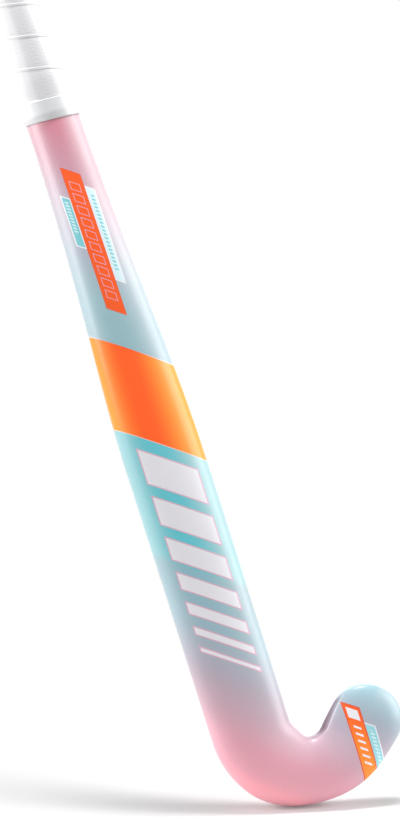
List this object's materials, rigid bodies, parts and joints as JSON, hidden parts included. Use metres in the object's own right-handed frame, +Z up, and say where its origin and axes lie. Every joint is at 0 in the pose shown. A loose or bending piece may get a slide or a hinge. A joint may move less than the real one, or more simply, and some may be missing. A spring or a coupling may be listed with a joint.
{
  "type": "indoor hockey stick",
  "caption": "Indoor hockey stick with a hooked head, flat playing face, rounded back, tapered and bowed shaft, and a handle wound with cushioned tape.",
  "frame": {"origin": "middle of the handle where the upper hand holds it, 100 mm below the butt", "axes": "+Z up the stick to the butt, +X to the toe, +Y out of the flat playing face; the XZ plane is parallel to a table that the stick lies on face down"},
  "size_m": [0.1134, 0.047, 0.762],
  "materials": {
    "paint": "satin lacquer over a pink, blue-grey and teal gradient",
    "laminate": "bare resin and fibre laminate",
    "foam": "rigid closed-cell foam",
    "cap": "moulded, fine matt texture",
    "grip": "soft cushioned polyurethane tape, perforated",
    "tape": "thin smooth finishing tape"
  },
  "bodies": {
    "root": {"outer_shell": "paint", "head_core": "foam", "inner_tube_heel_side": "laminate", "inner_tube_toe_side": "laminate", "handle_plug": "foam", "butt_cap": "cap", "grip_tape": "grip", "finishing_tape": "tape"}
  },
  "joints": []
}
